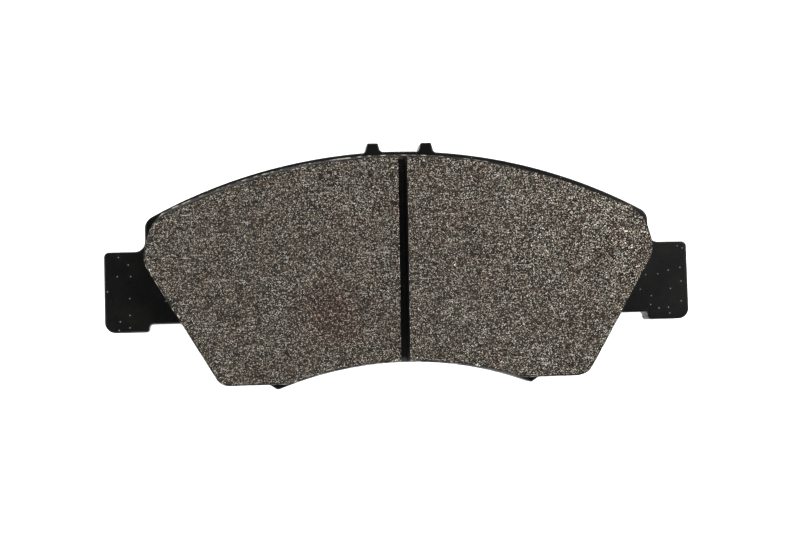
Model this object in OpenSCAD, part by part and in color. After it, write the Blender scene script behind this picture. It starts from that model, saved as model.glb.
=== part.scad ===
// Disc brake pad for the front axle of a small car, lying on its back with the friction face up.
// X runs along the pad, Y from its foot to its crown, and Z from the shim at the back to the disc.
// The origin is on the back face, at the middle of the outline.

/* [Backing plate] */
// Overall width, from ear tip to ear tip
plate_w = 137; // [115:1:165]
// Overall height, from the toes to the tops of the nibs
plate_h = 56.8; // [48:0.2:68]
// Thickness of the steel
plate_t = 5.5; // [4.5:0.1:7]
// Radius of the crown, the long outer edge
crown_r = 122; // [102:1:146]
// Radius of the arch, the hollow inner edge
arch_r = 82; // [70:1:98]
// Radius between the crown and the plate's side
shoulder_r = 3; // [1:0.5:5]
// Straight side between the crown and the ear
side_h = 7.07; // [5.9:0.1:8.5]
// How far each side leans in below the ear, from upright
side_lean = 30.7; // [20:0.5:36]
// Radius at the foot of the leaning side
foot_r = 3.5; // [1:0.5:5]

/* [Ears] */
// Length of an ear beyond the plate's side
ear_l = 9.3; // [7:0.1:12]
// Height of an ear at its tip
ear_h = 18.5; // [15:0.5:22]
// Length of the deeper tip, from the step to the end
ear_tip_l = 10; // [8:0.5:12]
// How much deeper the tip is than the root
ear_step = 1.8; // [1:0.1:3]
// How far in from the plate's side the leaning side starts
ear_root_in = 7.87; // [6:0.1:9.5]
// Radius in the corner on top of the ear
ear_fillet_r = 2.3; // [1:0.1:3]
// Radius at the ear's upper tip corner
ear_top_r = 1.2; // [0.5:0.1:2.5]
// Radius at the ear's lower tip corner
ear_low_r = 2.5; // [0.5:0.1:4]
// Radii in the step and at the root
ear_step_r = 0.8; // [0.3:0.1:0.9]

/* [Nibs and toes] */
// Distance between the two nibs on the crown
nib_pitch = 12.6; // [9:0.2:20]
// Height of a nib above the crown's highest point
nib_h = 2; // [1.5:0.1:3]
// Width of a nib at its top
nib_top_w = 2.5; // [1.5:0.1:3]
// Width of a nib at its base
nib_base_w = 3.6; // [3:0.1:4.5]
// How far the toes reach below the foot
toe_h = 1.1; // [0.8:0.1:1.5]
// How far each toe is in from the foot's corner
toe_in = 12.95; // [10:0.5:16]
// Angle of the ramp from the foot down to the toe
toe_ramp = 35; // [25:1:50]
// Radius of the toe's nose
toe_r = 0.9; // [0.5:0.1:1.3]

/* [Plate holes and pips] */
// Diameter of the holes that the lining is moulded into
hole_d = 12; // [9:0.5:15]
// Distance between the two holes
hole_pitch = 48; // [36:1:58]
// Height of the holes and pips from the middle of the pad
hole_y = 1; // [-4:0.5:6]
// Diameter of the pips that locate the shim
pip_d = 6; // [4:0.5:8]
// Distance between the two pips
pip_pitch = 84; // [76:1:92]
// How far a pip's end stays behind the shim's outer face
pip_below = 0.2; // [0.1:0.05:0.4]
// Depth of the dimple that pressing a pip leaves in the front
dimple_depth = 0.8; // [0.4:0.1:1.5]

/* [Lining] */
// Thickness of the bonding film
film_t = 0.2; // [0.1:0.05:0.4]
// How far the film is squeezed out around the lining, where the plate is wide enough
film_margin = 0.25; // [0.1:0.05:0.5]
// Thickness of the underlayer
under_t = 2; // [1:0.1:3]
// Thickness of the friction blocks
friction_t = 6.3; // [2:0.1:9]
// Draft of the lining's walls, over its whole height
draft = 0.15; // [0.1:0.05:1]
// Draft of its long wall under the crown
crown_draft = 1.2; // [0.4:0.05:1.5]
// Gap from the crown to the lining
lining_top_gap = 1; // [0.6:0.05:2]
// Gap from the foot and the arch to the lining
lining_low_gap = 0.25; // [0.1:0.05:0.6]
// Gap from each leaning side to the lining, before it is set over
lining_lean_gap = 0.75; // [0.6:0.05:1.5]
// How far the lining is set over to the left of the plate's middle
lining_over = 0.6; // [0:0.05:0.9]
// How far in from the plate's side the lining's upper corner is
lining_side_in = 2.6; // [1.5:0.1:4]
// How far the lining's sides flare out below that corner, from upright
lining_flare = 15.5; // [5:0.5:20]
// Radius of the lining's upper corners
lining_top_r = 8.5; // [4:0.5:12]
// Radius where the flared side meets the leaning side
lining_side_r = 6; // [2:0.5:8]
// Radius of the lining's lower corners
lining_foot_r = 4; // [2:0.5:6]
// Width of the slot down the middle
slot_w = 2; // [1.5:0.1:4]
// How far the slot leans over to the right at the top, from upright
slot_lean = 0.7; // [0:0.1:1.5]
// Clearance around the lining's plugs in the plate
plug_gap = 0.05; // [0.02:0.01:0.2]
// How far a plug's end stays short of the plate's back
plug_recess = 0.5; // [0.3:0.1:1.5]

/* [Shim] */
// Thickness of the outer rubber coat
outer_rubber_t = 0.3; // [0.25:0.05:0.5]
// Thickness of the steel core
core_t = 0.45; // [0.3:0.05:0.8]
// Thickness of the inner rubber coat
inner_rubber_t = 0.15; // [0.1:0.05:0.3]
// Thickness of the adhesive
adhesive_t = 0.1; // [0.05:0.05:0.2]
// Gap from the plate's edges to the shim
shim_gap = 1.5; // [0.8:0.1:3]
// Radius of the shim's corners
shim_r = 3; // [1:0.5:5]
// Clearance around a pip in the shim
pip_gap = 0.3; // [0.1:0.1:0.6]

/* [Hidden] */

// Levels from the back to the friction face
shim_t = outer_rubber_t + core_t + inner_rubber_t + adhesive_t;
plate_z = shim_t;
film_z = plate_z + plate_t;
under_z = film_z + film_t;
block_z = under_z + under_t;
face_z = block_z + friction_t;
pip_h = shim_t - pip_below;

// The plate's main lines
top_y = plate_h / 2;
crown_y = top_y - nib_h;
low_y = -plate_h / 2;
foot_y = low_y + toe_h;
side_x = plate_w / 2 - ear_l;
crown_c = [0, crown_y - crown_r];
shoulder_y = on_circle(crown_c, crown_r, side_x);
ear_y = shoulder_y - side_h;
ear_tip_y = ear_y - ear_h;
ear_root_y = ear_tip_y + ear_step;
step_x = plate_w / 2 - ear_tip_l;
lean_p = [side_x - ear_root_in, ear_root_y];
foot_x = lean_p.x - (ear_root_y - foot_y) * tan(side_lean);
toe_x = foot_x - toe_in;

// Rounding the toe lifts its lowest point, so its sharp corner lies this much lower
toe_slope = asin(toe_x / arch_r);
toe_lift = toe_r * (cos((toe_slope - toe_ramp) / 2) / cos((toe_slope + toe_ramp) / 2) - 1);
toe_y = low_y - toe_lift;
ramp_x = toe_x + (foot_y - toe_y) / tan(toe_ramp);
ramp_r = 0.8;
arch_c = [0, toe_y - sqrt(arch_r * arch_r - toe_x * toe_x)];

long_steps = 26; // straight pieces in half of a long curve
round_steps = 8; // straight pieces in a rounded corner
run_out = 1.3; // radii of a corner that a long curve stops short of it
most_of_side = 0.7; // share of a straight side that one corner may use up
cut = 1; // how far cutting shapes run past what they cut

// The upper point of a circle at x
function on_circle(c, r, x) = c.y + sqrt(r * r - x * x);

// Points along an arc, from angle a to angle b
function arc(c, r, a, b, steps) =
    [for (i = [0:steps]) let (t = a + (b - a) * i / steps) c + r * [cos(t), sin(t)]];

// Where a line through p in direction u meets a line through q in direction v
function meet(p, u, q, v) = p + u * ((q.x - p.x) * v.y - (q.y - p.y) * v.x) / (u.x * v.y - u.y * v.x);

// Points that round the corner b between a and c; the radius shrinks where a neighbour is near
function corner(a, b, c, r) =
    let (
        u = (a - b) / norm(a - b),
        v = (c - b) / norm(c - b),
        half = acos(u * v) / 2,
        reach = min(r / tan(half), norm(a - b) * most_of_side, norm(c - b) * most_of_side),
        m = b + (u + v) / norm(u + v) * reach / cos(half),
        s = b + u * reach - m,
        e = b + v * reach - m,
        turn = (s.x * e.y > s.y * e.x ? 1 : -1) * (180 - 2 * half),
        from = atan2(s.y, s.x)
    )
    arc(m, norm(s), from, from + turn, round_steps);

// A chain of [x, y, radius] points with its inner corners rounded
function rounded(chain) = [
    for (i = [0:len(chain) - 1])
        let (p = [chain[i].x, chain[i].y])
        each i == 0 || i == len(chain) - 1 ? [p] : corner(
            [chain[i - 1].x, chain[i - 1].y], p, [chain[i + 1].x, chain[i + 1].y], chain[i][2])
];

// A chain point from a point and a radius
function at(p, r = 0) = [p.x, p.y, r];

// A whole outline from its right half, which runs from the middle of the crown to that of the arch
function both_sides(half) = concat(half, [for (i = [len(half) - 2:-1:1]) [-half[i].x, half[i].y]]);

// The angle on a circle of radius r at which its upper point is at x
function angle_at(r, x) = acos(x / r);

// Right half of the plate's edge, without the nibs
function plate_half() =
    let (
        crown_end = angle_at(crown_r, side_x - run_out * shoulder_r),
        arch_end = angle_at(arch_r, toe_x - run_out * 2 * toe_r)
    )
    concat(
        arc(crown_c, crown_r, 90, crown_end, long_steps),
        rounded([
            at(crown_c + crown_r * [cos(crown_end), sin(crown_end)]),
            [side_x, shoulder_y, shoulder_r],
            [side_x, ear_y, ear_fillet_r],
            [plate_w / 2, ear_y, ear_top_r],
            [plate_w / 2, ear_tip_y, ear_low_r],
            [step_x, ear_tip_y, ear_step_r],
            [step_x, ear_root_y, ear_step_r],
            at(lean_p, ear_step_r),
            [foot_x, foot_y, foot_r],
            [ramp_x, foot_y, ramp_r],
            [toe_x, toe_y, toe_r],
            at(arch_c + arch_r * [cos(arch_end), sin(arch_end)])
        ]),
        arc(arch_c, arch_r, arch_end, 90, long_steps)
    );

// Right half of a shape inside the plate's body, inset by d more all round: top, low and lean are its
// gaps to the crown, the lower edges and the leaning sides, and side is its gap to the plate's side at
// the upper corner
function body_half(top, low, lean, side, flare, top_r, side_r, low_r, d) =
    let (
        crown = crown_r - top - d,
        arch = arch_r + low + d,
        y = foot_y + low + d,
        side_u = [sin(flare), -cos(flare)],
        side_in = [-cos(flare), -sin(flare)],
        side_x0 = side_x - side,
        side_p = [side_x0, on_circle(crown_c, crown_r - top, side_x0)] + side_in * d,
        lean_u = [-sin(side_lean), -cos(side_lean)],
        lean_in = [-cos(side_lean), sin(side_lean)],
        lean_q = lean_p + lean_in * (lean + d),
        crown_end = angle_at(crown, side_p.x - run_out * top_r),
        crown_p = crown_c + crown * [cos(crown_end), sin(crown_end)],
        crown_u = [sin(crown_end), -cos(crown_end)],
        arch_x = sqrt(arch * arch - (y - arch_c.y) * (y - arch_c.y)),
        arch_end = angle_at(arch, arch_x - low_r)
    )
    concat(
        arc(crown_c, crown, 90, crown_end, long_steps),
        rounded([
            at(crown_p),
            at(meet(crown_p, crown_u, side_p, side_u), top_r - d),
            at(meet(side_p, side_u, lean_q, lean_u), side_r - d),
            at(meet(lean_q, lean_u, [0, y], [1, 0]), low_r - d),
            [arch_x, y, 2 * low_r],
            at(arch_c + arch * [cos(arch_end), sin(arch_end)])
        ]),
        arc(arch_c, arch, arch_end, 90, long_steps)
    );

// The lining's outline, inset all round by d and by d_crown more under the crown
function lining_inset(d, d_crown = 0) =
    let (
        outline = both_sides(body_half(
            lining_top_gap + d_crown, lining_low_gap, lining_lean_gap, lining_side_in, lining_flare,
            lining_top_r, lining_side_r, lining_foot_r, d))
    )
    [for (p = outline) [p.x - lining_over, p.y]];

// The lining's outline at height z, where its walls have drafted in
function lining(z) =
    let (share = (z - under_z) / (face_z - under_z))
    lining_inset(draft * share, (crown_draft - draft) * share);

// The shim's outline
function shim() = both_sides(body_half(
    shim_gap, shim_gap, shim_gap, shim_gap, 0,
    shim_r, shim_r, shim_r, 0));

// The lining between two heights, with its drafted walls
module drafted_lining(z0, z1) {
    n = len(lining(z0));
    polyhedron(
        points = [for (z = [z0, z1]) for (p = lining(z)) [p.x, p.y, z]],
        faces = concat(
            [[for (i = [n - 1:-1:0]) i]],
            [[for (i = [0:n - 1]) n + i]],
            [for (i = [0:n - 1]) let (j = (i + 1) % n) [i, j, n + j, n + i]]
        ),
        convexity = 6
    );
}

// One copy on the right and one on the left
module pair(pitch) {
    for (side = [-1, 1]) translate([side * pitch / 2, hole_y, 0]) children();
}

module disc(r, z0, z1) {
    translate([0, 0, z0]) cylinder(h = z1 - z0, r = r, $fn = 64);
}

// Outline of one nib, rooted in the crown; side is 1 on the right and -1 on the left
function nib(side) =
    let (
        x = nib_pitch / 2,
        b = nib_base_w / 2,
        t = nib_top_w / 2,
        fillet = 0.8,
        tip_r = 0.4,
        chain = [
            for (p = [[x - b - 1, 0], [x - b, fillet], [x + b, fillet], [x + b + 1, 0]])
                [p.x, on_circle(crown_c, crown_r, p.x), p.y]
        ]
    )
    [
        for (p = concat(
            rounded([
                chain[0], chain[1],
                [x - t, top_y, tip_r], [x + t, top_y, tip_r],
                chain[2], chain[3]
            ]),
            [[x + b + 1, crown_y - cut], [x - b - 1, crown_y - cut]]
        )) [side * p.x, p.y]
    ];

module shim_layer(z, t) {
    difference() {
        translate([0, 0, z]) linear_extrude(t) polygon(shim());
        pair(pip_pitch) disc(pip_d / 2 + pip_gap, z - cut, z + t + cut);
    }
}

module shim_outer_rubber() {
    color("#1f2022") shim_layer(0, outer_rubber_t);
}

module shim_steel_core() {
    color("#a9abad") shim_layer(outer_rubber_t, core_t);
}

module shim_inner_rubber() {
    color("#26272a") shim_layer(outer_rubber_t + core_t, inner_rubber_t);
}

module shim_adhesive() {
    color("#d8c98a") shim_layer(shim_t - adhesive_t, adhesive_t);
}

module backing_plate() {
    color("#1b1b1c") difference() {
        union() {
            translate([0, 0, plate_z]) linear_extrude(plate_t) {
                polygon(both_sides(plate_half()));
                polygon(nib(1));
                polygon(nib(-1));
            }
            pair(pip_pitch) disc(pip_d / 2, plate_z - pip_h, plate_z + cut);
        }
        pair(hole_pitch) disc(hole_d / 2, plate_z - cut, film_z + cut);
        pair(pip_pitch) disc(pip_d / 2, film_z - dimple_depth, film_z + cut);
    }
}

module bonding_film() {
    color("#6b4a2a") difference() {
        translate([0, 0, film_z]) linear_extrude(film_t) intersection() {
            polygon(lining_inset(-film_margin));
            polygon(both_sides(plate_half()));
        }
        pair(hole_pitch) disc(hole_d / 2, film_z - cut, under_z + cut);
        pair(pip_pitch) disc(pip_d / 2, film_z - cut, under_z + cut);
    }
}

module underlayer() {
    color("#3d3a36") {
        drafted_lining(under_z, block_z);
        pair(hole_pitch) disc(hole_d / 2 - plug_gap, plate_z + plug_recess, under_z + under_t / 2);
        pair(pip_pitch) disc(pip_d / 2 - plug_gap, film_z - dimple_depth + plug_gap, under_z + under_t / 2);
    }
}

// The half of the lining above the underlayer that lies on one side of the slot
module friction_block(side) {
    intersection() {
        drafted_lining(block_z, face_z);
        translate([-lining_over, 0, block_z - cut])
            rotate([0, 0, -slot_lean])
            translate([side > 0 ? slot_w / 2 : -slot_w / 2 - plate_w, -plate_h, 0])
            cube([plate_w, 2 * plate_h, friction_t + 2 * cut]);
    }
}

module friction_block_left() {
    color("#5a564d") friction_block(-1);
}

module friction_block_right() {
    color("#5d5850") friction_block(1);
}

shim_outer_rubber();
shim_steel_core();
shim_inner_rubber();
shim_adhesive();
backing_plate();
bonding_film();
underlayer();
friction_block_left();
friction_block_right();
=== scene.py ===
import math
import random

import bmesh
import bpy
from mathutils import Matrix, Vector, noise
from mathutils.geometry import delaunay_2d_cdt


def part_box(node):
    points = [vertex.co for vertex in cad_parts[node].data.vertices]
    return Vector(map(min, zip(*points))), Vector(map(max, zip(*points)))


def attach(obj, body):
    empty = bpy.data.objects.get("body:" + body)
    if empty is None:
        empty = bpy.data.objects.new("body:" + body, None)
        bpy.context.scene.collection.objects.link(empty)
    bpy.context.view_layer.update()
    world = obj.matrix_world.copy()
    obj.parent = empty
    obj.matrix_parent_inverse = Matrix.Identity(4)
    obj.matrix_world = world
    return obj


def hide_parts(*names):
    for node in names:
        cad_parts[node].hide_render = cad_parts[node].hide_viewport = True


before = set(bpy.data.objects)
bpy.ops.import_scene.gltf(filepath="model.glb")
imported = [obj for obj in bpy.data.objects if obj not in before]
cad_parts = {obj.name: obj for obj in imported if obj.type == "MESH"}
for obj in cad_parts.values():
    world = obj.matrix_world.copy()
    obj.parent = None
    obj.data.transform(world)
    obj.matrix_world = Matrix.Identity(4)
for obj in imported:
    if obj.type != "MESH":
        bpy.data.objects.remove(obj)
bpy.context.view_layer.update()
mm = 0.001
print("frame loaded:", len(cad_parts), "nodes")


# Outlines, read from the flat faces of the CAD nodes

def loopLength(loop):
    return sum((b - a).length for a, b in zip(loop, loop[1:] + loop[:1]))


def isAnticlockwise(loop):
    return sum(a.x * b.y - b.x * a.y for a, b in zip(loop, loop[1:] + loop[:1])) > 0


def faceLoops(nodeName, z):
    # the outlines of a node's flat face at height z, the longest first, all anticlockwise
    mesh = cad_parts[nodeName].data
    edges = set()
    for face in mesh.polygons:
        corners = [mesh.vertices[i].co for i in face.vertices]
        if all(abs(c.z - z) < 1e-6 for c in corners):
            spots = [(round(c.x, 7), round(c.y, 7)) for c in corners]
            for edge in zip(spots, spots[1:] + spots[:1]):
                if edge[::-1] in edges:
                    edges.remove(edge[::-1])
                else:
                    edges.add(edge)
    following = dict(sorted(edges))
    loops = []
    while following:
        start = min(following)
        loop, point = [start], following.pop(start)
        while point != start:
            loop.append(point)
            point = following.pop(point)
        loop = [Vector(p) for p in loop]
        loops.append(loop if isAnticlockwise(loop) else loop[::-1])
    return sorted(loops, key=loopLength, reverse=True)


def circleOf(loop):
    centre = sum(loop, Vector((0, 0))) / len(loop)
    return centre, max((p - centre).length for p in loop)


def circleLoop(centre, radius, count=56):
    turns = [2 * math.pi * i / count for i in range(count)]
    return [centre + radius * Vector((math.cos(t), math.sin(t))) for t in turns]


def evenPairs(low, high, step):
    # two outlines with as many points each, paired up, and their long sides divided to about a step
    count = len(low)
    gaps = [sum((high[(i + turn) % count] - low[i]).length_squared for i in range(0, count, 3))
            for turn in range(count)]
    turn = gaps.index(min(gaps))
    high = high[turn:] + high[:turn]
    pairs = []
    for i in range(count):
        j = (i + 1) % count
        parts = max(1, round((low[j] - low[i]).length / step))
        pairs += [(low[i].lerp(low[j], k / parts), high[i].lerp(high[j], k / parts))
                  for k in range(parts)]
    return pairs


def evenLoop(loop, step):
    return [low for low, high in evenPairs(loop, loop, step)]


def inset(loop, depth):
    # the outline moved inwards by one depth in millimetres, or by a list with one for each point
    depths = depth if isinstance(depth, list) else [depth] * len(loop)
    moved = []
    for i, p in enumerate(loop):
        before = (p - loop[i - 1]).normalized()
        after = (loop[(i + 1) % len(loop)] - p).normalized()
        inwards = Vector((-before.y - after.y, before.x + after.x)).normalized()
        mitre = max(0.6, inwards.y * before.x - inwards.x * before.y)
        moved.append(p + inwards * depths[i] * mm / mitre)
    return moved


# Meshes

def addRing(bm, loop, z, paint=0):
    heights = z if isinstance(z, list) else [z] * len(loop)
    paints = paint if isinstance(paint, list) else [paint] * len(loop)
    layer = bm.verts.layers.float["paint"]
    ring = []
    for p, height, amount in zip(loop, heights, paints):
        vert = bm.verts.new((p.x, p.y, height))
        vert[layer] = amount
        ring.append(vert)
    return ring


def skin(bm, rings):
    for low, high in zip(rings, rings[1:]):
        for i in range(len(low)):
            j = (i + 1) % len(low)
            bm.faces.new((low[i], low[j], high[j], high[i]))


def spans(loops, y):
    # the stretches of the line at height y that are inside the outer loop and outside the holes
    crossings = []
    for loop in loops:
        for a, b in zip(loop, loop[1:] + loop[:1]):
            if (a.y <= y) != (b.y <= y):
                crossings.append(a.x + (b.x - a.x) * (y - a.y) / (b.y - a.y))
    crossings.sort()
    return list(zip(crossings[::2], crossings[1::2]))


gridClearance = 0.6     # shares of the spacing of a face's inner points
gridJitter = 0.3
gridRowStep = 0.87


def gridInside(loops, spacing, dice):
    # jittered points on a grid, clear of every edge
    lowest, highest = min(p.y for p in loops[0]), max(p.y for p in loops[0])
    margin = spacing * gridClearance
    points = []
    y = lowest + spacing
    while y < highest:
        rows = [spans(loops, y + d) for d in (-margin, 0, margin)]
        for left, right in rows[1]:
            for k in range(int((right - left) / spacing) + 1):
                x = left + (k + dice.random()) * spacing
                if all(any(a + margin < x < b - margin for a, b in row) for row in rows):
                    lift = dice.uniform(-gridJitter, gridJitter) * spacing
                    points.append(Vector((x, y + lift)))
        y += spacing * gridRowStep
    return points


def cap(bm, rings, spacing=0, facesUp=True, relief=None, seed=1):
    # triangles inside the first ring and outside the others; relief(x, y) is how far a point sinks
    z = rings[0][0].co.z
    loops = [[v.co.xy for v in ring] for ring in rings]
    dots = gridInside(loops, spacing * mm, random.Random(seed)) if spacing else []
    edges, start = [], 0
    for ring in rings:
        edges += [(start + i, start + (i + 1) % len(ring)) for i in range(len(ring))]
        start += len(ring)
    flat = [p / mm for loop in loops for p in loop] + [p / mm for p in dots]
    spots, _, faces, origins, _, _ = delaunay_2d_cdt(flat, edges, [], 0, 1e-6)
    verts = [v for ring in rings for v in ring]
    verts += [bm.verts.new((p.x, p.y, z - (relief(p.x, p.y) * mm if relief else 0))) for p in dots]
    where = [verts[ids[0]] if ids else bm.verts.new((spot.x * mm, spot.y * mm, z))
             for ids, spot in zip(origins, spots)]
    rows = {}
    for face in faces:
        centre = sum((spots[i] for i in face), Vector((0, 0))) / len(face) * mm
        if centre.y not in rows:
            rows[centre.y] = spans(loops, centre.y)
        if any(a < centre.x < b for a, b in rows[centre.y]):
            corners = [where[i] for i in face]
            bm.faces.new(corners if facesUp else corners[::-1])


def newMesh():
    bm = bmesh.new()
    bm.verts.layers.float.new("paint")
    return bm


def finishPiece(bm, name, material, nodeName):
    mesh = bpy.data.meshes.new(name)
    bm.to_mesh(mesh)
    bm.free()
    mesh.polygons.foreach_set("use_smooth", [True] * len(mesh.polygons))
    mesh.materials.append(material)
    piece = bpy.data.objects.new(name, mesh)
    bpy.context.scene.collection.objects.link(piece)
    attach(piece, "root")
    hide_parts(nodeName)
    print("made", name, len(mesh.polygons), "faces")


def bumps(x, y, z, size):
    # smooth noise from -1 to 1, its bumps about the given size in millimetres
    return noise.noise(Vector((x, y, z)) / (size * mm))


def blendOver(value, start, end):
    t = min(1, max(0, (value - start) / (end - start)))
    return t * t * (3 - 2 * t)


# Materials

def hexColour(code):
    parts = [int(code[i:i + 2], 16) / 255 for i in (0, 2, 4)]
    return [*(c / 12.92 if c <= 0.04045 else ((c + 0.055) / 1.055) ** 2.4 for c in parts), 1]


def addNode(tree, kind, settings, links=None):
    # settings are the node's own properties, or values of its sockets by name or number
    node = tree.nodes.new("ShaderNode" + kind)

    def socket(key):
        if isinstance(key, int):
            return node.inputs[key]
        return next(s for s in node.inputs if s.name == key and s.enabled)

    for key, value in settings.items():
        if key == "stops":
            stops = node.color_ramp.elements
            while len(stops) < len(value):
                stops.new(0.5)
            for stop, (place, colour) in zip(stops, value):
                stop.position = place
                stop.color = hexColour(colour) if isinstance(colour, str) else [colour] * 3 + [1]
        elif isinstance(key, str) and hasattr(node, key):
            setattr(node, key, value)
        else:
            socket(key).default_value = hexColour(value) if isinstance(value, str) else value
    for key, source in (links or {}).items():
        if isinstance(source, bpy.types.Node):
            source = next(s for s in source.outputs if s.enabled)
        tree.links.new(source, socket(key))
    return node


def newMaterial(name):
    material = bpy.data.materials.new(name)
    material.use_nodes = True
    material.node_tree.nodes.clear()
    return material, material.node_tree


compoundLook = {
    "tones": [(0.28, "050403"), (0.51, "1d1914"), (0.66, "50493f"),     # pores, binder, middle tone,
              (0.78, "a9a194"), (0.88, "fbf8f2")],                      # pale mineral, bright cut metal
    "grainTints": [(0, "d6b08c"), (0.5, "bcbcbc"), (1, "a6bccb")],      # warm, plain and cool grains
    "grainTintShare": 0.4,
    "blotchTints": [(0.4, "c4b6ae"), (0.6, "b4bcb6")],                  # brownish and greenish areas
    "blotchTintShare": 0.2,
    "rust": "8c5444",
    "rustAt": (-17, -11, 15),      # millimetres
    "rustReach": 10,
    "rustShare": 0.42,
    "fibre": "b2aca1",
    "paint": "080808",
    "paintRoughness": 0.9,
    "roughness": [(0.2, 0.85), (0.85, 0.3)],     # from pores to cut metal
    "glints": [(0.62, 0), (0.78, 1)],            # tones that are bare metal
    "specular": 0.12,
    "bumpDepth": 0.04,             # this and the sizes below are in millimetres
    "grainSize": 0.5,              # mineral grains and graphite flakes
    "grainStretch": 0.85,
    "fineSize": 0.15,              # the powder is 0.05 and finer, drawn coarser so that it shows
    "cloudSize": 7,
    "streakSize": 0.13,            # lines of the grinding grit, also drawn coarser than their 0.05
    "streakStretch": 22,
    "grainShare": 0.06,            # how much each pattern counts in the tone
    "fineShare": 0.95,
    "streakShare": 0.42,
    "cloudShare": 0.08,
    "toneDrop": 0.372,
    "fibreSpacing": 0.5,
    "fibreStretch": 9,             # cut fibres are 3 to 5 long
    "fibreWidth": [(0.12, 0.45), (0.28, 0)],
    "fibreCrowding": 0.8,          # how far the clouds decide where fibres lie
    "fibreLimit": 1.28,
}


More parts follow.
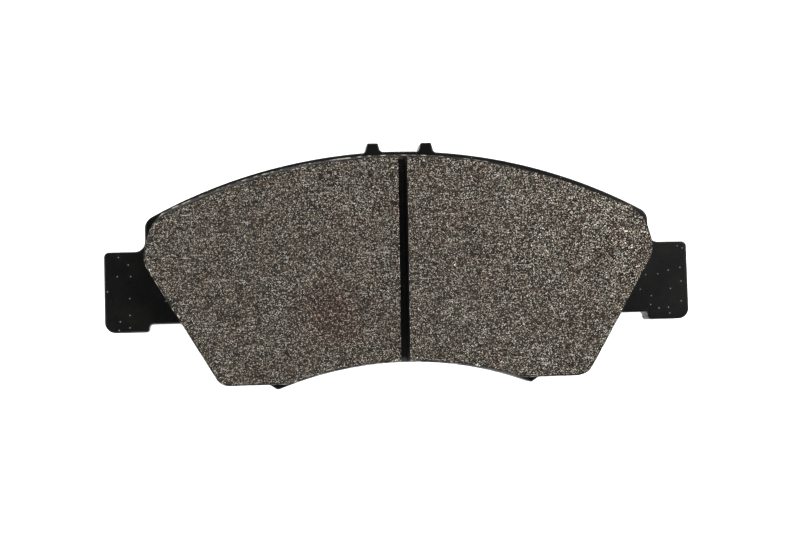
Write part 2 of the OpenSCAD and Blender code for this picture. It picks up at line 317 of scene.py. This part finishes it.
def groundFrictionCompound():
    # phenolic friction mix, pressed and then ground flat: dark graphite and pale mineral grains in a
    # grey-brown binder, fine streaks along the grinding direction and a few bright metal fibres;
    # the black coat is left on the walls
    look = compoundLook
    material, tree = newMaterial("groundFrictionCompound")
    place = addNode(tree, "TexCoord", {}).outputs["Object"]
    wide = addNode(tree, "Mapping", {"Scale": (look["grainStretch"], 1, 1)}, {"Vector": place})
    coarse = addNode(tree, "TexVoronoi", {"Scale": 1 / (look["grainSize"] * mm)}, {"Vector": wide})
    coarseTone = addNode(tree, "SeparateColor", {}, {"Color": coarse.outputs["Color"]})
    fine = addNode(tree, "TexVoronoi", {"Scale": 1 / (look["fineSize"] * mm)}, {"Vector": wide})
    fineTone = addNode(tree, "SeparateColor", {}, {"Color": fine.outputs["Color"]})
    drawn = addNode(tree, "Mapping", {"Scale": (1 / look["streakStretch"], 1, 1)}, {"Vector": place})
    streaks = addNode(tree, "TexNoise", {
        "Scale": 1 / (look["streakSize"] * mm), "Detail": 3, "Roughness": 0.6}, {"Vector": drawn})
    clouds = addNode(tree, "TexNoise", {"Scale": 1 / (look["cloudSize"] * mm), "Detail": 3},
                     {"Vector": place})

    tone = addNode(tree, "Math", {"operation": "MULTIPLY", 1: look["grainShare"]}, {0: coarseTone})
    for part, share in ((fineTone, "fineShare"), (streaks, "streakShare"), (clouds, "cloudShare")):
        tone = addNode(tree, "Math", {"operation": "MULTIPLY_ADD", 1: look[share]}, {0: part, 2: tone})
    tone = addNode(tree, "Math", {"operation": "SUBTRACT", 1: look["toneDrop"]}, {0: tone})
    colour = addNode(tree, "ValToRGB", {"stops": look["tones"]}, {"Fac": tone})

    tints = addNode(tree, "ValToRGB", {"stops": look["grainTints"]}, {"Fac": fineTone.outputs["Green"]})
    colour = addNode(tree, "Mix", {
        "data_type": "RGBA", "blend_type": "OVERLAY", "Factor": look["grainTintShare"]},
        {"A": colour, "B": tints})
    tints = addNode(tree, "ValToRGB", {"stops": look["blotchTints"]}, {"Fac": clouds})
    colour = addNode(tree, "Mix", {
        "data_type": "RGBA", "blend_type": "OVERLAY", "Factor": look["blotchTintShare"]},
        {"A": colour, "B": tints})

    # iron oxide has tinted one patch of it
    away = addNode(tree, "VectorMath", {"operation": "DISTANCE", 1: [c * mm for c in look["rustAt"]]},
                   {0: place})
    away = addNode(tree, "Math", {"operation": "MULTIPLY", 1: 1 / (look["rustReach"] * mm)},
                   {0: away.outputs["Value"]})
    rusty = addNode(tree, "ValToRGB", {"stops": [(0.2, look["rustShare"]), (1.0, 0)]}, {"Fac": away})
    colour = addNode(tree, "Mix", {"data_type": "RGBA", "blend_type": "OVERLAY", "B": look["rust"]},
                     {"Factor": rusty, "A": colour})

    # metal fibres drawn out by the grinding, more in some places than in others
    along = addNode(tree, "Mapping", {"Scale": (1 / look["fibreStretch"], 1, 1)}, {"Vector": place})
    strands = addNode(tree, "TexVoronoi", {"Scale": 1 / (look["fibreSpacing"] * mm)}, {"Vector": along})
    strandTone = addNode(tree, "SeparateColor", {}, {"Color": strands.outputs["Color"]})
    thin = addNode(tree, "ValToRGB", {"stops": look["fibreWidth"]}, {"Fac": strands})
    crowd = addNode(tree, "Math", {"operation": "MULTIPLY_ADD", 1: look["fibreCrowding"]},
                    {0: clouds, 2: strandTone})
    chosen = addNode(tree, "Math", {"operation": "GREATER_THAN", 1: look["fibreLimit"]}, {0: crowd})
    fibres = addNode(tree, "Math", {"operation": "MULTIPLY"}, {0: thin, 1: chosen})
    colour = addNode(tree, "Mix", {"data_type": "RGBA", "B": look["fibre"]},
                     {"Factor": fibres, "A": colour})

    # the black coat, broken up by the grains where it ends
    paint = addNode(tree, "Attribute", {"attribute_name": "paint"})
    edge = addNode(tree, "Math", {"operation": "MULTIPLY_ADD", 1: 0.5},
                   {0: fineTone, 2: paint.outputs["Fac"]})
    painted = addNode(tree, "ValToRGB", {"stops": [(0.6, 0), (0.75, 1)]}, {"Fac": edge})
    colour = addNode(tree, "Mix", {"data_type": "RGBA", "B": look["paint"]},
                     {"Factor": painted, "A": colour})

    glints = addNode(tree, "ValToRGB", {"stops": look["glints"]}, {"Fac": tone})
    bare = addNode(tree, "Math", {"operation": "SUBTRACT", 0: 1.0}, {1: painted})
    metal = addNode(tree, "Math", {"operation": "MAXIMUM"}, {0: glints, 1: fibres})
    metal = addNode(tree, "Math", {"operation": "MULTIPLY"}, {0: metal, 1: bare})
    dull = addNode(tree, "ValToRGB", {"stops": look["roughness"]}, {"Fac": tone})
    roughness = addNode(tree, "Mix", {"data_type": "FLOAT", "B": look["paintRoughness"]},
                        {"Factor": painted, "A": dull})
    normal = addNode(tree, "Bump", {"Distance": look["bumpDepth"] * mm}, {"Height": tone})
    shader = addNode(tree, "BsdfPrincipled", {"Specular IOR Level": look["specular"]}, {
        "Base Color": colour, "Metallic": metal, "Roughness": roughness, "Normal": normal})
    addNode(tree, "OutputMaterial", {}, {"Surface": shader})
    return material


coatLook = {
    "tones": [(0.45, "060606"), (0.75, "0c0c0b")],
    "roughness": [(0.3, 0.27), (0.7, 0.36)],
    "specular": 0.15,
    "speck": "77746f",
    "speckSpacing": 2.6,           # millimetres, as are the sizes and depths below
    "speckReach": [(0.03, 1), (0.06, 0)],        # shares of the spacing
    "speckChoice": [(0.55, 0), (0.57, 1)],       # leaves out about half of them
    "speckDrift": 3,               # more specks towards +X, by this much a metre; on that lit side they are partly painted glints
    "cloudSize": 7,
    "peelSize": 1.1,
    "peelDepth": 0.02,
    "grainSize": 0.3,
    "grainDepth": 0.012,
}


def bakedPowderCoat():
    # epoxy powder baked onto blanked steel: a near-black satin skin with fine orange peel and a few
    # pale specks, grains of dust that are partly painted glints
    look = coatLook
    material, tree = newMaterial("bakedPowderCoat")
    place = addNode(tree, "TexCoord", {}).outputs["Object"]
    peel = addNode(tree, "TexNoise", {"Scale": 1 / (look["peelSize"] * mm)}, {"Vector": place})
    grain = addNode(tree, "TexNoise", {"Scale": 1 / (look["grainSize"] * mm)}, {"Vector": place})
    clouds = addNode(tree, "TexNoise", {"Scale": 1 / (look["cloudSize"] * mm), "Detail": 3},
                     {"Vector": place})
    colour = addNode(tree, "ValToRGB", {"stops": look["tones"]}, {"Fac": clouds})

    # pale specks: dust, and partly painted glints, so more of them towards the lit +X side
    dustAndGlints = addNode(tree, "TexVoronoi", {
        "voronoi_dimensions": "2D", "Scale": 1 / (look["speckSpacing"] * mm)}, {"Vector": place})
    dustAndGlintTone = addNode(tree, "SeparateColor", {}, {"Color": dustAndGlints.outputs["Color"]})
    small = addNode(tree, "ValToRGB", {"stops": look["speckReach"]}, {"Fac": dustAndGlints})
    along = addNode(tree, "SeparateXYZ", {}, {"Vector": place})
    towardsLitSide = addNode(tree, "Math", {"operation": "MULTIPLY_ADD", 1: look["speckDrift"]},
                      {0: along, 2: dustAndGlintTone})
    chosen = addNode(tree, "ValToRGB", {"stops": look["speckChoice"]}, {"Fac": towardsLitSide})
    specks = addNode(tree, "Math", {"operation": "MULTIPLY"}, {0: small, 1: chosen})
    colour = addNode(tree, "Mix", {"data_type": "RGBA", "B": look["speck"]},
                     {"Factor": specks, "A": colour})

    roughness = addNode(tree, "ValToRGB", {"stops": look["roughness"]}, {"Fac": grain})
    normal = addNode(tree, "Bump", {"Distance": look["peelDepth"] * mm}, {"Height": peel})
    normal = addNode(tree, "Bump", {"Distance": look["grainDepth"] * mm},
                     {"Height": grain, "Normal": normal})
    shader = addNode(tree, "BsdfPrincipled", {"IOR": 1.5, "Specular IOR Level": look["specular"]}, {
        "Base Color": colour, "Roughness": roughness, "Normal": normal})
    addNode(tree, "OutputMaterial", {}, {"Surface": shader})
    return material


def layeredLook(name, settings, size, stops, roughness, depth, stretch=(1, 1, 1)):
    # one noise gives a plain finish its colours, its roughness and its bumps; size and depth are in
    # millimetres, and roughness is a pair, from the noise's low parts to its high ones
    material, tree = newMaterial(name)
    place = addNode(tree, "TexCoord", {}).outputs["Object"]
    drawn = addNode(tree, "Mapping", {"Scale": stretch}, {"Vector": place})
    cells = addNode(tree, "TexNoise", {"Scale": 1 / (size * mm), "Detail": 4, "Roughness": 0.62},
                    {"Vector": drawn})
    colour = addNode(tree, "ValToRGB", {"stops": stops}, {"Fac": cells})
    dull = addNode(tree, "ValToRGB", {"stops": [(0.3, roughness[0]), (0.7, roughness[1])]},
                   {"Fac": cells})
    normal = addNode(tree, "Bump", {"Distance": depth * mm}, {"Height": cells})
    shader = addNode(tree, "BsdfPrincipled", settings, {
        "Base Color": colour, "Roughness": dull, "Normal": normal})
    addNode(tree, "OutputMaterial", {}, {"Surface": shader})
    return material


# soft pressed mix under the friction material, dull black under the same coat, with pale grit in it; on
# the slot's floor its near-black tone is also painted shade
underlayerCoatAndSlotShade = layeredLook("pressedUnderlayerCoatAndSlotShade", {"Specular IOR Level": 0.12}, 0.8, [
    (0.3, "060605"), (0.62, "0b0a09"), (0.74, "2b2822")], (0.45, 0.65), 0.08)
# cured resin squeezed out around the lining: a pale, uneven bead, partly hidden under the coat; its
# pale tone is painted highlight, where the lining's foot catches light
squeezedResinAndHighlight = layeredLook("squeezedBondingResinPaintedHighlight", {"Specular IOR Level": 0.3}, 1.6, [
    (0.5, "0b0a09"), (0.57, "77736b"), (0.72, "a9a499")], (0.5, 0.7), 0.05)
# nitrile rubber rolled onto the shim's steel: dull dark grey with a fine leathery grain
rolledRubber = layeredLook("rolledNitrileRubber", {"IOR": 1.52}, 0.9, [
    (0.3, "1c1d1f"), (0.55, "27282a"), (0.75, "37383a")], (0.55, 0.75), 0.05)
# cold rolled strip, seen only at the shim's blanked edge: bright, with fine lines round the edge
blankedSteel = layeredLook("blankedStripSteel", {"Metallic": 1.0}, 0.25, [
    (0.3, "7d7e80"), (0.7, "b4b5b7")], (0.28, 0.45), 0.01, (1, 1, 8))
# pressure-sensitive film under the shim: clear amber, seen only at its cut edge
castAdhesive = layeredLook("castAcrylicAdhesive", {"IOR": 1.47}, 1.5, [
    (0.3, "8d8156"), (0.7, "c2b585")], (0.2, 0.4), 0.02)
# matt studio paper with a very fine tooth; its weak glow keeps shadows off it
mattPaper = layeredLook("mattStudioPaper", {
    "Specular IOR Level": 0.2, "Emission Color": (1, 1, 1, 1), "Emission Strength": 0.35}, 0.8, [
    (0.3, "f3f3f2"), (0.7, "f6f6f5")], (0.85, 0.95), 0.01)
compound = groundFrictionCompound()
powderCoat = bakedPowderCoat()
print("materials made")


# Backing plate

plateShape = {
    "edgeStep": 0.55,      # millimetres between points along the edge
    "frontRoll": 0.34,     # rounding that blanking leaves at the front edge
    "backRoll": 0.2,
    "tornShare": 0.35,     # share of the thickness that tore in blanking, from the back
    "tornDepth": 0.07,     # how far the torn part lies back
    "tornOver": 0.25,      # the tearing fades in between these two distances from its line
    "tornUnder": 0.1,
    "wave": 0.012,
    "faceSpacing": 1.6,    # between points inside a face
    "faceWave": 0.006,
    "holeRoll": 0.15,
    "pipRoll": 0.2,
    "lip": 0.4,            # flat ring round a hole or a pip
}
largestPip = 4.5           # radius in millimetres, under which a round outline is a pip, not a hole
flatBand = 0.22            # width in millimetres of the flat ring at an edge's two ends


def edgeRings(bm, outline, low, high, lowRoll, highRoll, depthAt, paint=1, middles=()):
    # rings up an edge that is rounded at both ends; depthAt(point, z) is how far it lies back
    turns = [math.radians(a) for a in (0, 22, 45, 68, 90)]
    levels = [(low + lowRoll * mm * (1 - math.sin(t)), lowRoll * (1 - math.cos(t)))
              for t in turns[::-1]]
    levels += [(z, 0) for z in middles]
    levels += [(high - highRoll * mm * (1 - math.sin(t)), highRoll * (1 - math.cos(t)))
               for t in turns]
    rings = []
    for z, depth in levels:
        loop = inset(outline, [depth + depthAt(p, z) for p in outline])
        rings.append(addRing(bm, loop, z, paint))
    # one flat ring at each face, so that the face's own shading stays flat
    flats = [addRing(bm, inset([v.co.xy for v in ring], flatBand), ring[0].co.z, paint)
             for ring in (rings[0], rings[-1])]
    return [flats[0], *rings, flats[1]]


def backingPlate():
    shape = plateShape
    bm = newMesh()
    low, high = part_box("shim_adhesive")[1].z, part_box("bonding_film")[0].z
    fronts, backs = faceLoops("backing_plate", high), faceLoops("backing_plate", low)
    torn = low + (high - low) * shape["tornShare"]

    def depthAt(p, z):
        wave = shape["wave"] * (1 + bumps(p.x, p.y, z, 4.5))
        isTorn = blendOver(z, torn + shape["tornOver"] * mm, torn - shape["tornUnder"] * mm)
        return wave + isTorn * shape["tornDepth"] * (0.7 + 0.6 * bumps(p.x, p.y, z, 1.2))

    outline = evenLoop(fronts[0], shape["edgeStep"] * mm)
    middles = [low + (torn - low) * s for s in (0.3, 0.6, 0.9)]
    middles += [torn + (high - torn) * s for s in (0.02, 0.1, 0.35, 0.6, 0.8)]
    rings = edgeRings(bm, outline, low, high, shape["backRoll"], shape["frontRoll"], depthAt,
                      middles=middles)
    skin(bm, rings)

    levels = sorted({round(v.co.z, 6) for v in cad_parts["backing_plate"].data.vertices})
    front, back = [rings[-1]], [rings[0]]
    lip, roll, pipRoll = shape["lip"] * mm, shape["holeRoll"] * mm, shape["pipRoll"] * mm
    for loop in fronts[1:]:
        centre, radius = circleOf(loop)
        isHole = radius > largestPip * mm
        floor = low if isHole else levels[-2]
        ends = [(radius + lip, high), (radius + roll, high), (radius, high - roll)]
        if isHole:
            ends += [(radius, floor + roll), (radius + roll, floor), (radius + lip, floor)]
        else:
            ends.append((radius, floor))
        hole = [addRing(bm, circleLoop(centre, r), z, 1) for r, z in ends]
        skin(bm, hole)
        front.append(hole[0])
        if isHole:
            back.append(hole[-1])
        else:
            cap(bm, [hole[-1]], spacing=1.5)
    for loop in backs[1:]:
        centre, radius = circleOf(loop)
        if radius < largestPip * mm:
            end = levels[0]
            ends = [(radius - 0.5 * mm, end), (radius - pipRoll, end), (radius, end + pipRoll),
                    (radius, low - 0.1 * mm), (radius + 0.1 * mm, low), (radius + lip, low)]
            pip = [addRing(bm, circleLoop(centre, r), z, 1) for r, z in ends]
            skin(bm, pip)
            back.append(pip[-1])
            cap(bm, [pip[0]], spacing=1.2, facesUp=False)

    def relief(x, y):
        return shape["faceWave"] * (1 + bumps(x, y, 0, 5))

    cap(bm, front, shape["faceSpacing"], relief=relief, seed=3)
    cap(bm, back, shape["faceSpacing"], facesUp=False, relief=lambda x, y: -relief(x, y), seed=4)
    finishPiece(bm, "coatedBackingPlate", powderCoat, "backing_plate")


# Lining: bonding film, underlayer and friction blocks

liningShape = {
    "edgeStep": 0.42,      # millimetres between points along the edge
    "wallWave": 0.03,      # unevenness of the pressed and painted walls
    "wallGrain": 0.022,
    "rimWear": 0.07,
    "paintBand": 0.08,     # how far the coat reaches over the rim, and then fades
    "sawnReach": 0.8,      # points this near the slot are on its sawn edge
    "chipDepth": 0.75,     # the largest of the chance chips along the rim
    "chipSize": 1.9,
    "chipBares": 8,        # how much paint a millimetre of chip takes off
    "faceSpacing": 0.36,
    "pitDepth": 0.09,
    "pitSize": 1.3,
    "smallPitSize": 0.75,
    "grindDepth": 0.012,
    "footBand": 0.4,       # flat ring round the underside
}
# chips broken from the rim: where, how deep and how long, in millimetres
rimChips = ((-30.5, 13.8, 0.55, 1.3), (46.6, -15.6, 0.85, 1.5), (51.9, 3.2, 0.5, 1.0),
            (17.5, -22.4, 0.5, 1.1), (-52.6, 2.0, 0.45, 1.2))


def wallDepth(p, z):
    shape = liningShape
    return (shape["wallWave"] * (1 + bumps(p.x, p.y, z, 3.2))
            + shape["wallGrain"] * (1 + bumps(p.x, p.y, z, 0.8)))


def chipAt(p):
    shape = liningShape
    chip = shape["chipDepth"] * blendOver(bumps(p.x, p.y, 0.02, shape["chipSize"]), 0.32, 0.85)
    for x, y, depth, length in rimChips:
        distance = (p - Vector((x, y)) * mm).length / mm
        chip = max(chip, depth * blendOver(distance, length, length * 0.35))
    return chip * (0.8 + 0.4 * bumps(p.x, p.y, 0, 0.5)) if chip > 0.02 else 0


def groundFace(x, y):
    shape = liningShape
    pits = blendOver(bumps(x, y, 0, shape["pitSize"]), 0.28, 0.6)
    small = blendOver(bumps(x, y, 5 * mm, shape["smallPitSize"]), 0.3, 0.6)
    grinding = shape["grindDepth"] * (1 + bumps(x / 14, y, 0, 0.55))
    return shape["pitDepth"] * (pits + 0.5 * small) + grinding


def frictionBlock(side):
    shape = liningShape
    nodeName = "friction_block_" + side
    low, high = (corner.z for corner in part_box(nodeName))
    pairs = evenPairs(faceLoops(nodeName, low)[0], faceLoops(nodeName, high)[0],
                      shape["edgeStep"] * mm)
    chips = [chipAt(top) for bottom, top in pairs]
    # the slot was sawn after coating, so its edges are bare
    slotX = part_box(nodeName)[1 if side == "left" else 0].x
    sawn = [abs(top.x - slotX) < shape["sawnReach"] * mm for bottom, top in pairs]
    bm = newMesh()

    def ring(share, drop, depth, chipShare, dropShare, paint):
        # drop is below the face, in millimetres; the chip adds its own shares to drop and depth, and it
        # takes the paint off
        loop = [bottom.lerp(top, share) for bottom, top in pairs]
        level = low + (high - low) * share
        heights = [level - (drop + dropShare * chip) * mm for chip in chips]
        depths = [wallDepth(p, z) + depth + chipShare * chip
                  for p, z, chip in zip(loop, heights, chips)]
        paints = [paint if share < 1 else 0 if isSawn else max(0, paint - chip * shape["chipBares"])
                  for chip, isSawn in zip(chips, sawn)]
        return addRing(bm, inset(loop, depths), heights, paints)

    # every wall ring takes the black coat, the slot's walls too, where the black is painted shade
    rings = [ring(share, 0, 0, 0, 0, 1) for share in (0, 0.12, 0.25, 0.37, 0.5, 0.62, 0.73, 0.82)]
    # over the rim, where the paint ends
    wear, band = shape["rimWear"], shape["paintBand"]
    rings.append(ring(1, 0.12, 0, 0, 0.9, 1))
    rings.append(ring(1, 0.08, 0.02, 0.35, 0.75, 1))
    rings.append(ring(1, 0.03, wear * 0.5, 0.75, 0.3, 1))
    rings.append(ring(1, 0.01, wear, 1, 0, 0.9))
    rings.append(ring(1, 0.004, wear + band, 1, 0, 0.55))
    rings.append(ring(1, 0, wear + 2 * band, 1, 0, 0))
    skin(bm, rings)
    foot = addRing(bm, inset([v.co.xy for v in rings[0]], shape["footBand"]), low, 1)
    skin(bm, [foot, rings[0]])
    cap(bm, [foot], spacing=3, facesUp=False, seed=5)
    cap(bm, [rings[-1]], shape["faceSpacing"], relief=groundFace, seed=6)
    finishPiece(bm, side + "FrictionBlock", compound, nodeName)


def underlayer():
    shape = liningShape
    bm = newMesh()
    low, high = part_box("bonding_film")[1].z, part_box("underlayer")[1].z
    pairs = evenPairs(faceLoops("underlayer", low)[0], faceLoops("underlayer", high)[0],
                      shape["edgeStep"] * mm)
    rings = []
    for share in (0, 0.3, 0.6, 0.85, 1):
        z = low + (high - low) * share
        loop = [bottom.lerp(top, share) for bottom, top in pairs]
        rings.append(addRing(bm, inset(loop, [wallDepth(p, z) for p in loop]), z, 1))
    foot = addRing(bm, inset([v.co.xy for v in rings[0]], shape["footBand"]), low, 1)
    skin(bm, [foot, *rings])
    holes = [foot]
    levels = sorted({round(v.co.z, 6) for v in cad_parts["underlayer"].data.vertices})
    for loop in faceLoops("underlayer", low)[1:]:
        centre, radius = circleOf(loop)
        end = levels[0] if radius > largestPip * mm else levels[1]
        ends = [(radius - 0.8 * mm, end), (radius - 0.3 * mm, end + 0.05 * mm),
                (radius, end + 0.3 * mm), (radius, low)]
        plug = [addRing(bm, circleLoop(centre, r), z, 1) for r, z in ends]
        skin(bm, plug)
        holes.append(plug[-1])
        cap(bm, [plug[0]], spacing=0.9, facesUp=False,
            relief=lambda x, y: -0.05 * (1 + bumps(x, y, 0, 2)), seed=7)
    cap(bm, holes, spacing=3, facesUp=False, seed=8)
    cap(bm, [rings[-1]], spacing=1.1, relief=lambda x, y: 0.05 * (1 + bumps(x, y, 0, 1.6)), seed=9)
    finishPiece(bm, "pressedUnderlayer", underlayerCoatAndSlotShade, "underlayer")


# a thin sheet each: its name, material and slot, how far its lower and upper edges are rounded, how
# uneven its edge is and the spacing of its inner points, in millimetres, and its seed
sheets = {
    "bonding_film": ("squeezedBondingFilm", squeezedResinAndHighlight, "bonding_resin", 0.02, 0.09, 0.05, 3, 11),
    "shim_outer_rubber": ("shimOuterRubber", rolledRubber, "shim_rubber", 0.12, 0.02, 0.01, 2, 21),
    "shim_steel_core": ("shimSteelCore", blankedSteel, "shim_steel", 0.03, 0.03, 0.01, 4, 31),
    "shim_inner_rubber": ("shimInnerRubber", rolledRubber, "shim_inner_rubber",
                          0.02, 0.02, 0.015, 4, 41),
    "shim_adhesive": ("shimAdhesive", castAdhesive, "shim_adhesive", 0.02, 0.02, 0.04, 4, 51),
}
sheetStep = 0.5            # millimetres between points along a sheet's edge
sheetWave = 0.008


def flatSheet(nodeName):
    # rounded edges and the CAD sheet's own holes
    name, material, slotName, lowRoll, highRoll, wave, spacing, seed = sheets[nodeName]
    bm = newMesh()
    low, high = (corner.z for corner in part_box(nodeName))

    def depthAt(p, z):
        return wave * (1 + bumps(p.x, p.y, z, 2.4)) + wave * 0.5 * (1 + bumps(p.x, p.y, z, 0.7))

    loops = faceLoops(nodeName, high)
    outline = evenLoop(loops[0], sheetStep * mm)
    rings = edgeRings(bm, outline, low, high, lowRoll, highRoll, depthAt)
    skin(bm, rings)
    tops, bases = [rings[-1]], [rings[0]]
    for loop in loops[1:]:
        centre, radius = circleOf(loop)
        ends = [(radius + highRoll * mm, high), (radius, high - highRoll * mm),
                (radius, low + lowRoll * mm), (radius + lowRoll * mm, low)]
        hole = [addRing(bm, circleLoop(centre, r), z, 1) for r, z in ends]
        skin(bm, hole)
        tops.append(hole[0])
        bases.append(hole[-1])
    cap(bm, tops, spacing, relief=lambda x, y: sheetWave * (1 + bumps(x, y, 0, 6)), seed=seed)
    cap(bm, bases, spacing, facesUp=False,
        relief=lambda x, y: -sheetWave * (1 + bumps(x, y, 0.01, 6)), seed=seed + 1)
    finishPiece(bm, name, material, nodeName)


backingPlate()
frictionBlock("left")
frictionBlock("right")
underlayer()
for sheetNode in sheets:
    flatSheet(sheetNode)


# Studio: paper that sweeps up all round, four soft lamps and the camera

studio = {
    "paperRadius": 1.1,    # metres, as are the other lengths here
    "paperBend": 0.35,
    "paperRise": 1.0,
    "paperGap": 0.00005,   # keeps the paper just clear of the pad's back
    "paperSides": 96,
    "ambient": 0.04,
    "lamps": (             # name, lean from straight up, turn from +X, distance, size, watts
        ("keyLamp", 40, 22, 1.6, 0.5, 13.5),
        ("leftLamp", 55, 172, 0.95, 0.55, 9.2),
        ("topLamp", 59, 84, 0.95, 0.55, 8.0),
        ("footLamp", 60, 262, 0.95, 0.55, 13),
    ),
}


def studioPaper():
    bm = bmesh.new()
    radius, bend, sides = studio["paperRadius"], studio["paperBend"], studio["paperSides"]
    profile = [(r, 0) for r in (0.1, 0.3, 0.6, 0.85)]
    profile += [(radius + bend * math.sin(t), bend * (1 - math.cos(t)))
                for t in [math.radians(15 * i) for i in range(7)]]
    profile.append((radius + bend, studio["paperRise"]))
    rings = [[bm.verts.new((p.x, p.y, z - studio["paperGap"]))
              for p in circleLoop(Vector((0, 0)), r, sides)] for r, z in profile]
    for inner, outer in zip(rings, rings[1:]):
        for i in range(sides):
            j = (i + 1) % sides
            bm.faces.new((inner[i], outer[i], outer[j], inner[j]))
    bm.faces.new(rings[0])
    mesh = bpy.data.meshes.new("studioPaper")
    bm.to_mesh(mesh)
    bm.free()
    mesh.polygons.foreach_set("use_smooth", [True] * len(mesh.polygons))
    mesh.materials.append(mattPaper)
    paper = bpy.data.objects.new("studioPaper", mesh)
    bpy.context.scene.collection.objects.link(paper)


def studioLamps():
    for name, lean, turn, distance, size, watts in studio["lamps"]:
        lean, turn = math.radians(lean), math.radians(turn)
        way = Vector((math.sin(lean) * math.cos(turn), math.sin(lean) * math.sin(turn),
                      math.cos(lean)))
        lamp = bpy.data.lights.new(name, "AREA")
        lamp.shape, lamp.size, lamp.energy = "DISK", size, watts
        holder = bpy.data.objects.new(name, lamp)
        holder.location = way * distance
        holder.rotation_mode = "QUATERNION"
        holder.rotation_quaternion = way.to_track_quat("Z", "Y")
        bpy.context.scene.collection.objects.link(holder)
    world = bpy.data.worlds.new("studioAir")
    world.use_nodes = True
    air = world.node_tree.nodes["Background"]
    air.inputs["Color"].default_value = (1, 1, 1, 1)
    air.inputs["Strength"].default_value = studio["ambient"]
    bpy.context.scene.world = world


cameraSetup = {
    "aim": (-0.64, -0.654, 6.5),   # millimetres, in the part's frame
    "distance": 328.4,
    "yaw": 6.876,                  # leans towards -X
    "pitch": 2.916,                # leans towards -Y
    "roll": 1.577,
    "lens": 63.37,
}


def studioCamera():
    setup = cameraSetup
    yaw, pitch, roll = (math.radians(setup[key]) for key in ("yaw", "pitch", "roll"))
    back = Vector((-math.sin(yaw) * math.cos(pitch), -math.sin(pitch),
                   math.cos(yaw) * math.cos(pitch)))
    right = Vector((0, 1, 0)).cross(back).normalized()
    up = back.cross(right)
    axes = Matrix((math.cos(roll) * right - math.sin(roll) * up,
                   math.sin(roll) * right + math.cos(roll) * up, back)).transposed().to_4x4()
    axes.translation = Vector(setup["aim"]) * mm + back * setup["distance"] * mm
    camera = bpy.data.objects.new("studioCamera", bpy.data.cameras.new("studioCamera"))
    camera.data.lens = setup["lens"]
    camera.data.clip_start = 0.01
    camera.matrix_world = axes
    bpy.context.scene.collection.objects.link(camera)
    bpy.context.scene.camera = camera


studioPaper()
studioLamps()
studioCamera()
bpy.context.scene.view_settings.view_transform = "Standard"
print("studio made")
